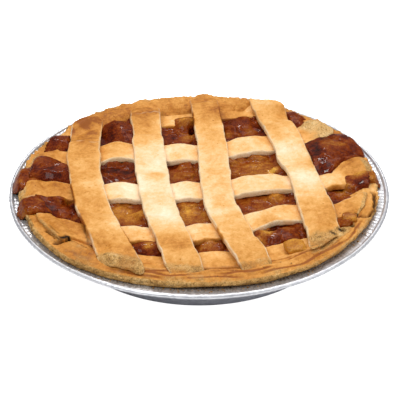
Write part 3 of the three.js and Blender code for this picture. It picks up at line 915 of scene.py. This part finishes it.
# Where a strip's side is soaked with syrup instead of pale: the middle and the radius. The syrup has
# browned the side only within a distance from the middle of the pie.
SOAKED = [
    (-6, -70, 12), (84, -60, 12), (0, 76, 14), (36, 78, 16), (-85, -10, 14), (-96, -50, 26), (-53, -66, 18),
    (88, -26, 12),
]
SOAKED_BROWN_R = 92
# The back corner of the first long strip, which has stayed pale: the middle and the radius.
PALE_CORNER = (-79, 74, 16)


def soaked_at(x, y):
    """How far a strip's side is soaked with syrup at a place, from 0 to 1."""
    return max(1 - smooth(0.7, 1.0, math.hypot(x - at_x, y - at_y) / radius)
               for at_x, at_y, radius in SOAKED)


def browning(x, y):
    """How baked the lattice is at a place: paler in the middle of the pie, browner at its edge."""
    baked = mix(PALE_MIDDLE, BROWN_EDGE, smooth(20, 110, math.hypot(x, y + 3)))
    baked += 0.07 * waves(x, y, 0, 22, 14.0) + 0.05 * waves(x, y, 0, 7, 15.0)
    return baked + spots(BROWNED, x, y, SPOT_SPREAD)


def rounded(x, z, half_x, half_z, radius):
    """Moves a point of a box's section on to the section with round corners."""
    inner_x = clamp(x, radius - half_x, half_x - radius)
    inner_z = clamp(z, radius - half_z, half_z - radius)
    dx, dz = x - inner_x, z - inner_z
    away = math.hypot(dx, dz)
    if away < 1e-9:
        return x, z
    pull = max(abs(dx), abs(dz)) / away
    return inner_x + dx * pull, inner_z + dz * pull


# %% The middle line of a strip
class Path:
    """A curve seen from above that can be asked for the place and the direction at any length."""

    def __init__(self, points):
        self.line = smooth_line(points)
        self.lengths = [0.0]
        for a, b in zip(self.line, self.line[1:]):
            self.lengths.append(self.lengths[-1] + (b - a).length)
        self.length = self.lengths[-1]

    def at(self, share):
        """The place and the direction at a share of the whole length."""
        goal = clamp(share) * self.length
        i = 1
        while i < len(self.line) - 1 and self.lengths[i] < goal:
            i += 1
        a, b = self.line[i - 1], self.line[i]
        t = (goal - self.lengths[i - 1]) / (self.lengths[i] - self.lengths[i - 1])
        before = self.line[max(i - 2, 0)]
        after = self.line[min(i + 1, len(self.line) - 1)]
        ahead = (b - before).lerp(after - a, t).normalized()
        return a.lerp(b, t), ahead


def to_circle(place, ahead, radius):
    """How far along a direction a place has to go to lie on a circle round the middle of the pie."""
    half = place.dot(ahead)
    return -half + math.sqrt(max(half * half - place.length_squared + radius * radius, 0.0))


# %% Laying one strip
def lay_strip(name, strip, thickness, under, layer):
    """Makes one strip, laid on the surface that the rule under gives."""
    width, points, trims, crumbly_ends, layer_ends = strip
    path = Path(points)
    bm = grid_box((ACROSS_CUTS, round(path.length / ALONG_STEP), UP_CUTS))
    baked_of, side_of, crumbly_of, crack_shade_of = measures(bm, *DOUGH_NUMBERS.values())
    half_t = thickness / 2
    known = {share: path.at(share) for share in {(v.co.y + 1) / 2 for v in bm.verts}}
    for vert in bm.verts:
        u = 0.45 * vert.co.x + 0.55 * math.sin(vert.co.x * math.pi / 2)
        share = (vert.co.y + 1) / 2
        second = share > 0.5
        at, ahead = known[share]
        sideways = Vector((-ahead.y, ahead.x))
        from_end = min(share, 1 - share) * path.length
        edge_sway = 0.7 * waves(at.x, at.y, math.copysign(3, u), 10, layer)
        edge_sway += 0.35 * waves(at.x, at.y, math.copysign(3, u), 3.5, layer + 1)
        half = width / 2 * broadness(at.x, at.y) + edge_sway * abs(u)
        if trims:
            corner = clamp(1 - from_end / CORNER_R)
            half -= CORNER_R * 0.5 * (1 - math.sqrt(1 - corner * corner))
        x_in, z_in = rounded(-u * half, vert.co.z * half_t, half, half_t, EDGE_ROUND)
        place = at + sideways * x_in
        ragged = (1 - smooth(0, END_RAGGED, from_end)) * 1.5 * waves(x_in, layer * 9, 0, 5, layer)
        if trims:
            outward = ahead if second else -ahead
            end_at, end_ahead = known[1.0 if second else 0.0]
            tip = end_at + Vector((-end_ahead.y, end_ahead.x)) * x_in
            stretch = to_circle(tip, end_ahead if second else -end_ahead, trims[second])
            place += outward * (stretch * (1 - smooth(0, END_DRAWN, from_end)) + ragged)
        end_t = BACK_END_T if place.y > -60 else FRONT_END_T
        thin = mix(end_t, 1, smooth(0, END_TAPER, from_end)) if trims else 1
        layer_at = layer_ends[second] + 3.0 * waves(place.x, layer, 0, 6, layer + 6)
        bare = 1 - smooth(layer_at - 0.4, layer_at + 0.4, from_end) if layer_ends[second] else 0
        on_top = smooth(-0.2, 0.9, vert.co.z)
        crumbly = 1 - smooth(0.55, 1.1, from_end / crumbly_ends[second]) if crumbly_ends[second] else 0
        swell = 0.5 * waves(place.x, place.y, 0, 16, layer + 2)
        swell += 0.2 * waves(place.x, place.y, 0, 6, layer + 3)
        swell += 0.10 * waves(place.x, place.y, 0, 2.8, layer + 7)
        hump = spots(HUMPS, place.x, place.y)
        grains = rough(place.x, place.y, 0, 2.2, layer + 4) * (crumbly * 0.38 + 0.05)
        crown = 0.4 * (1 - u * u)
        z = under(place.x, place.y) + (z_in + half_t) * thin
        z += on_top * (swell + crown - 0.25 + grains + hump - LAYER_T * thin * bare)
        vert.co = (place.x, place.y, z)
        soaked = soaked_at(place.x, place.y)
        pale_side = mix(0.9, 0.25, smooth(72, 100, place.length) * smooth(-60, 10, place.y)) * (1 - soaked)
        pale_side *= (1.0 if trims else 0.1) * (0.8 + 0.6 * waves(place.x, place.y, 0, 7, layer + 8))
        corner_x, corner_y, corner_r = PALE_CORNER
        in_corner = math.hypot(place.x - corner_x, place.y - corner_y) / corner_r
        pale_side = max(pale_side, 0.75 * dome(in_corner, 0.5))
        side = smooth(half - 1.2, half - 0.3, abs(x_in))
        torn = 1 - smooth(0.3, 1.3, abs(from_end - layer_at)) if layer_ends[second] and not second else 0
        torn *= clamp(0.5 + 2 * waves(place.x, place.y, 0, 5, layer + 9))
        vert[side_of] = max(side * pale_side, 0.5 * torn * on_top)
        vert[baked_of] = browning(place.x, place.y) + 0.14 * swell + 0.05 * bare
        vert[baked_of] += 0.3 * side * soaked * (place.length < SOAKED_BROWN_R)
        vert[baked_of] += 0.1 * crumbly * smooth(-70, -88, place.y)
        vert[crumbly_of] = clamp(crumbly * (0.85 + 0.7 * waves(place.x, place.y, 0, 9, layer + 5)))
        # Where a crack or hole lies under a strip's end, the strip is painted dark there, as shade.
        vert[crack_shade_of] = crack_at(place.x, place.y)[1]
    make_piece(name, bm, lattice_dough, [name])


# %% The nine strips
for number, (strip, thickness, puff) in enumerate(zip(CROSS_STRIPS, CROSS_T, CROSS_PUFF), 1):
    lay_strip(f"cross_strip_{number}", strip, thickness, cross_under(puff), 20.0 + number)
for number, strip in enumerate(LONG_STRIPS, 1):
    lay_strip(f"long_strip_{number}", strip, LONG_T, bridge_z, 40.0 + number)

# %% [markdown]
# ## The filling
# Between the strips the apple filling swells up: in some windows it stands in a smooth dome, in others
# it has sunk, and in three places it has swollen over the strip beside it. Its surface is a fine round
# grid that is lifted to the level of the filling, with pieces of apple under the glaze. Each piece is a
# cell of a random pattern with its own tilt, and the glaze lies in the creases between. Under the strips
# the surface stays out of sight. Below, the mesh is drawn in to the foot of the case, so it is a closed
# loaf.

# %% The filling's surface
FILLING_R = 109.5
FILLING_GRID = 262
FILLING_FOOT = 4.0
CHUNK_SIZE = 12.0

# Where the filling bulges: the middle, the two half sizes, the height, and the dome's power.
BULGES = [
    ((-42, 73), (14, 18), 7.6, 1.3), ((-87, 60), (18, 14), 8.5, 0.9), ((-101, -16), (18, 12), 5.6, 1.5),
    ((41, 69), (14, 13), 3.6, 1.5), ((79, 70), (11, 14), 6.0, 1.2), ((40, -70), (16, 11), 4.6, 1.5),
    ((4, 78), (10, 9), 6.4, 1.2), ((-95, 15), (24, 27), 9.6, 0.6), ((91, 14), (24, 28), 8.6, 0.6),
    ((100, -21), (13, 11), 5.6, 1.0), ((-43, -69), (13, 6.5), 4.6, 0.9), ((27, -69), (7, 8), 4.4, 0.9),
]
# Where the filling has swollen over a cross strip: the strip, counted from 0, the middle, the two half
# sizes, and how high it stands over the strip.
OVERFLOWS = [(0, (4, 79), (9, 8), 1.4), (1, (-95, 13), (13, 28), 3.4), (2, (101, -21), (11, 8.5), 1.0)]
# Hollows where the filling has sunk away: the middle, the radius and the depth.
HOLLOWS = [
    ((-9, 94), 13, 3.0), ((7, 95), 11, 3.0), ((8, 70), 5, 4.5), ((36, -62), 5, 7.0), ((-56, 8), 9, 1.0),
    ((25, 60), 7, 1.0),
]
# How deep under the strip's upper face the swollen filling starts.
OVERFLOW_ROOT = 1.5
# How high the syrup climbs at a strip's side.
MENISCUS = 0.8
# Where a strip's side counts as reached, as a share of its half width.
STRIP_SIDE = 0.95
# How fast the filling may rise from a strip's edge, in millimetres for one half width of the strip.
EDGE_STEEP = 9.0
# Where light apple shows through the glaze, or the glaze is darker: the middle, the radius and how much.
# The two entries that darken hollows are painted shade.
APPLE_TONE_AND_HOLLOW_SHADE = [
    (-50, -28, 20, 0.42), (-55, -24, 8, 0.22), (-10, -36, 19, 0.48), (-10, -30, 8, 0.16),
    (36, -33, 24, 0.26), (46, -24, 8, 0.22), (38, 15, 26, 0.36), (50, 7, 5, 0.5), (-8, 12, 17, 0.24),
    (29, -60, 8, 0.45),
    (44, -66, 6, 0.2), (27, -68, 7, 0.25), (-42, -70, 5, 0.5), (25, -75, 6, 0.35), (31, -68, 6, 0.4),
    (-8, -71, 12, 0.2), (-84, -8, 6, 0.5), (-116, -14, 5, 0.35), (102, -14, 9, 0.5), (90, -26, 9, 0.35),
    (96, -20, 6, 0.15), (80, -56, 6, 0.2), (3, 62, 10, 0.26), (28, 58, 7, 0.34), (46, 60, 7, 0.2),
    (-32, 74, 6, 0.14), (104, 20, 8, 0.15), (4, 79, 12, 0.5), (-104, 34, 10, 0.10), (93, 23, 10, 0.26),
    # (7, 70) and (36, -62) darken two hollows of the filling: painted shade.
    (80, 16, 10, -0.16), (106, 27, 8, -0.15), (7, 70, 5, -0.4), (36, -62, 5, -0.4), (-80, -18, 10, -0.14),
    (-100, -20, 12, -0.16), (-83, -7, 7, 0.4), (-93, -12, 8, 0.15), (78, 22, 10, -0.12),
]
PLAIN_FILLING = 0.34


# %% How high the filling stands
def chunks(x, y):
    """Height and lightness of the pieces of apple under the glaze."""
    spot = Vector((x / CHUNK_SIZE, y / CHUNK_SIZE * 1.25, 4.7))
    spot += 0.25 * noise.noise_vector(spot * 1.7)
    distances, points = noise.voronoi(spot)
    border = distances[1] - distances[0]
    body = smooth(0.0, 0.32, border)
    tilt = noise.cell_vector(points[0] * 31.7)
    lean = (spot - points[0]).dot(tilt - Vector((0.5, 0.5, 0.5)))
    lift = noise.cell(points[0] * 17.3)
    return body * (0.9 + 1.2 * lift + 3.0 * lean), body * lift


def swollen(x, y):
    """How far the bulges lift a place. Where two of them meet, the higher one counts."""
    return max([0.0] + [rise * dome(math.hypot((x - at[0]) / size[0], (y - at[1]) / size[1]), power)
                        for at, size, rise, power in BULGES])


def filling_z(x, y):
    """The height of the filling's surface, and how light the apple is there."""
    r = math.hypot(x, y)
    level = filling_level(min(r, FILLING_FLAT_R)) + FILLING_RISE
    bulge = swollen(x, y)
    piece, light = chunks(x, y)
    relief = 0.8 * waves(x, y, 0, 13, 16.0) + mix(1.1, 0.45, smooth(1, 4, bulge)) * piece
    relief += 0.18 * rough(x, y, 0, 3, 17.0)
    ragged = 0.4 * waves(x, y, 0, 4, 25.0)
    relief -= sum(depth * dome(max(math.hypot(x - at[0], y - at[1]) / size + ragged, 0.0))
                  for at, size, depth in HOLLOWS)
    z = level + bulge + relief
    nearness = how_near(CROSS_TREES, x, y)
    near_cross, near_long = min(nearness), nearest(LONG_TREES, x, y)
    closest = nearness.index(near_cross)
    overflowed = False
    z += MENISCUS * (1 - smooth(STRIP_SIDE, 1.3, min(near_cross, near_long)))
    if near_cross < STRIP_SIDE:
        z = min(z, rest_z(x, y) + 0.5)
    for strip, at, size, height in OVERFLOWS:
        share = dome((abs((x - at[0]) / size[0]) ** 3 + abs((y - at[1]) / size[1]) ** 3) ** (1 / 3), 0.4)
        if share > 0 and (strip == closest or near_cross > STRIP_SIDE):
            root = cross_top(strip, x, y) - OVERFLOW_ROOT
            z = max(z, root + (height + OVERFLOW_ROOT) * share + 0.3 * relief)
            overflowed = overflowed or strip == closest
    if near_cross > STRIP_SIDE and not overflowed:
        z = min(z, cross_top(closest, x, y) + 0.2 + EDGE_STEEP * (near_cross - STRIP_SIDE))
    if near_long < STRIP_SIDE:
        z = min(z, bridge_z(x, y) + 0.5)
    return z, light


# %% The filling
bm = bmesh.new()
bmesh.ops.create_grid(bm, x_segments=FILLING_GRID, y_segments=FILLING_GRID, size=FILLING_R)
outside = [v for v in bm.verts if math.hypot(v.co.x, v.co.y) > FILLING_R]
bmesh.ops.delete(bm, geom=outside, context="VERTS")
apple_of, = measures(bm, "apple")
for vert in bm.verts:
    x, y = vert.co.x, vert.co.y
    z, light = filling_z(x, y)
    vert.co.z = z
    vert[apple_of] = PLAIN_FILLING + 0.14 * (light - 0.4) + spots(APPLE_TONE_AND_HOLLOW_SHADE, x, y)
rim_edges = [e for e in bm.edges if e.is_boundary]
lower = bmesh.ops.extrude_edge_only(bm, edges=rim_edges)["geom"]
for vert in (g for g in lower if isinstance(g, bmesh.types.BMVert)):
    drawn_in = (BASE_R - 3.5) / math.hypot(vert.co.x, vert.co.y)
    vert.co = (vert.co.x * drawn_in, vert.co.y * drawn_in, FILLING_FOOT)
    vert[apple_of] = 0.3
foot = [e for e in bm.edges if e.is_boundary]
bmesh.ops.contextual_create(bm, geom=foot)
bmesh.ops.recalc_face_normals(bm, faces=bm.faces)
make_piece("apple_filling", bm, filling_fruit, ["filling"])

# %% [markdown]
# ## What boiled over
# At both sides the filling has run over the rim and set on the flange, and a small pool of it lies on
# the rim at the right of the front. Each spill is a thick drop that starts inside the bulge, follows the
# rim's form and ends in a rounded tongue.

# %% The spills
SPILL_IN = 96.0
SPILL_T = 2.6
# Direction in degrees, width along the rim, how far out it reaches, and how light it is.
SPILLS = [
    (171.5, 29.0, 121.0, 0.36), (188.5, 20.0, 118.8, 0.42), (12.5, 40.0, 117.0, 0.30),
    (-9.5, 13.0, 117.0, 0.58), (-38.5, 18.0, 108.5, 0.46),
]


def pour(number, turn, width, reach, light):
    """Makes one spill."""
    bm = grid_box((34, 26, 3))
    apple_of, = measures(bm, "apple")
    for vert in bm.verts:
        out = (vert.co.x + 1) / 2
        v = vert.co.y
        tongue = 1 - 0.16 * v * v + 0.10 * waves(v * 4, turn, 0, 1.3, 18.0)
        r = mix(SPILL_IN, reach, out * tongue)
        across = v * (1 - 0.25 * out * out) * width / 2 + 0.8 * waves(out * 9, v * 3, turn, 3, 19.0)
        angle = math.radians(turn) + across / 108
        x, y = r * math.cos(angle), r * math.sin(angle)
        on_rim = case_top(r) + 0.5 - RIM_Z
        edge = CASE_R - 1.5 + edge_reach(angle)
        fall = 1 - smooth(edge, max(reach, edge + 3) + 0.5, r)
        thick = SPILL_T * (1 - 0.8 * v ** 4) * (1 - 0.75 * smooth(0.82, 1.0, out) ** 2)
        thick += 0.6 * waves(x, y, 0, 6, 20.0) + 0.25 * rough(x, y, 0, 2.5, 21.0)
        top = RIM_Z + on_rim * fall + max(thick, 0.15)
        bottom = RIM_Z + max(0.1, on_rim * fall - 1.2)
        vert.co = (x, y, mix(bottom, top, (vert.co.z + 1) / 2))
        vert[apple_of] = light + 0.20 * waves(x, y, 0, 7, 22.0)
    bmesh.ops.recalc_face_normals(bm, faces=bm.faces)
    make_piece(f"spill_{number}", bm, filling_fruit)


for number, values in enumerate(SPILLS, 1):
    pour(number, *values)

# %% [markdown]
# ## The two pieces of apple
# One square amber piece lies on the front strip, and a paler one is caught in a hollow at the right. Each
# is a box with soft corners and a slightly wrinkled skin.

# %% The apple pieces
# The place, the three sizes, the height over the flange, the lean and the turn in degrees, and how light.
APPLES = [
    ((43.0, -87.5), (13.0, 11.5, 4.6), 6.3, 5.0, 4.0, 0.80),
    ((82.5, -64.0), (9.5, 7.0, 5.0), 7.4, 14.0, -14.0, 0.70),
]


def cut_apple(number, at, size, lift, lean, turn, light):
    """Makes one piece of apple."""
    bm = grid_box((14, 14, 8))
    apple_of, = measures(bm, "apple")
    tilt = Matrix.Rotation(math.radians(turn), 4, "Z") @ Matrix.Rotation(math.radians(lean), 4, "X")
    for vert in bm.verts:
        c = vert.co.copy()
        soft = 1 - 0.12 * (c.x ** 2 * c.y ** 2 + c.y ** 2 * c.z ** 2 + c.z ** 2 * c.x ** 2)
        c *= soft * (1 + 0.06 * waves(c.x + number, c.y, c.z, 0.8, 23.0))
        local = Vector((c.x * size[0] / 2, c.y * size[1] / 2, c.z * size[2] / 2))
        vert.co = tilt @ local + Vector((at[0], at[1], RIM_Z + lift))
        vert[apple_of] = light + 0.12 * waves(vert.co.x, vert.co.y, vert.co.z, 4, 24.0)
    make_piece(f"apple_piece_{number}", bm, apple_fruit, [f"apple_piece_{number}"])


for number, values in enumerate(APPLES, 1):
    cut_apple(number, *values)

# %% [markdown]
# ## Crumbs
# Broken grains of crust lie on the flange and along the rim, most of them at the front and the left.
# They are small lumpy balls with few faces, joined in one mesh and drawn by a seeded rule.

# %% The crumbs
CRUMBS = 110
CRUMB_SIZES = (0.25, 0.65)
CRUMB_BAKED = 0.95
# The direction in degrees round which the crumbs lie, and how widely they are scattered.
CRUMB_TURN = (-128, 62)
# The share of the crumbs that lies at the crust's edge and how far they have rolled, and the distances
# from the middle between which the others lie on the rim.
SHARE_AT_EDGE = 0.8
ROLLED = 2.4
ON_RIM = (104, 111)
chance = random.Random(7)
bm = bmesh.new()
for _ in range(CRUMBS):
    turn = math.radians(chance.gauss(*CRUMB_TURN))
    if chance.random() < SHARE_AT_EDGE:
        r = CASE_R + edge_reach(turn) + ROLLED * chance.random() ** 3
    else:
        r = chance.uniform(*ON_RIM)
    size = chance.uniform(*CRUMB_SIZES)
    z = RIM_Z + 0.25 * size if r > ON_RIM[1] else case_top(r) + 0.4
    at = Matrix.Translation((r * math.cos(turn), r * math.sin(turn), z))
    shape = Matrix.Diagonal((size, size * chance.uniform(0.6, 1.0), size * chance.uniform(0.5, 0.8), 1))
    spin = Matrix.Rotation(chance.uniform(0, math.tau), 4, "Z")
    bmesh.ops.create_icosphere(bm, subdivisions=1, radius=1.0, matrix=at @ spin @ shape)
baked_of, _, crumbly_of, _ = measures(bm, *DOUGH_NUMBERS.values())
for vert in bm.verts:
    vert.co += 0.25 * noise.noise_vector(vert.co * 1.7)
    vert[baked_of] = CRUMB_BAKED
    vert[crumbly_of] = 1.0
make_piece("crumbs", bm, case_dough)

# %% [markdown]
# ## Light and floor
# The photograph is high-key, yet the glaze stays deep and dark, so the light comes from above and little
# of it from the horizon behind the pie. A world that is bright at the top and dimmer towards the horizon
# gives that, with broad lamps for some shape. A small lamp behind the pie puts the glints on the glaze,
# and a wide, faint one, lower down, is what the level foil mirrors. The floor looks plain white to the
# camera, while the pie and the tin see it in normal light.

# %% The studio
floor_material, tree, shader = new_material("pale floor")
shader.inputs["Base Color"].default_value = (0.95, 0.95, 0.95, 1)
shader.inputs["Roughness"].default_value = 1.0
shader.inputs["Specular IOR Level"].default_value = 0.0
shader.inputs["Emission Color"].default_value = (1, 1, 1, 1)
tree.links.new(add(tree, "LightPath").outputs["Is Camera Ray"], shader.inputs["Emission Strength"])
bm = bmesh.new()
bmesh.ops.create_grid(bm, x_segments=1, y_segments=1, size=4.0)
floor = new_object("floor", mesh_from("floor", bm, floor_material))
floor.location.z = -0.0002

world = bpy.data.worlds.new("studio")
world.use_nodes = True
sky = world.node_tree
direction = add(sky, "TexCoord").outputs["Generated"]
height = add(sky, "SeparateXYZ", {"Vector": direction}).outputs["Z"]
sky_strength = fitted(sky, height, 0.35, 0.95, 0.16, 0.75)
sky.links.new(sky_strength, sky.nodes["Background"].inputs["Strength"])
sky.nodes["Background"].inputs["Color"].default_value = (1, 1, 1, 1)
bpy.context.scene.world = world


def add_lamp(name, location, size, power):
    """A round lamp that shines on the pie."""
    lamp = bpy.data.lights.new(name, "AREA")
    lamp.shape = "DISK"
    lamp.size = size
    lamp.energy = power
    aim_at(new_object(name, lamp), location, rim_centre)


add_lamp("back key", (0.35, 0.45, 1.15), 0.7, 4.2)
add_lamp("front key", (-0.65, -0.55, 1.1), 0.6, 6.2)
add_lamp("fill", (0.9, -0.7, 0.9), 0.8, 3.8)
add_lamp("glint", (0.0, 0.62, 0.95), 0.16, 2.2)
add_lamp("backdrop", (0.2, 1.15, 0.72), 0.9, 1.0)
bpy.context.scene.view_settings.view_transform = "Standard"
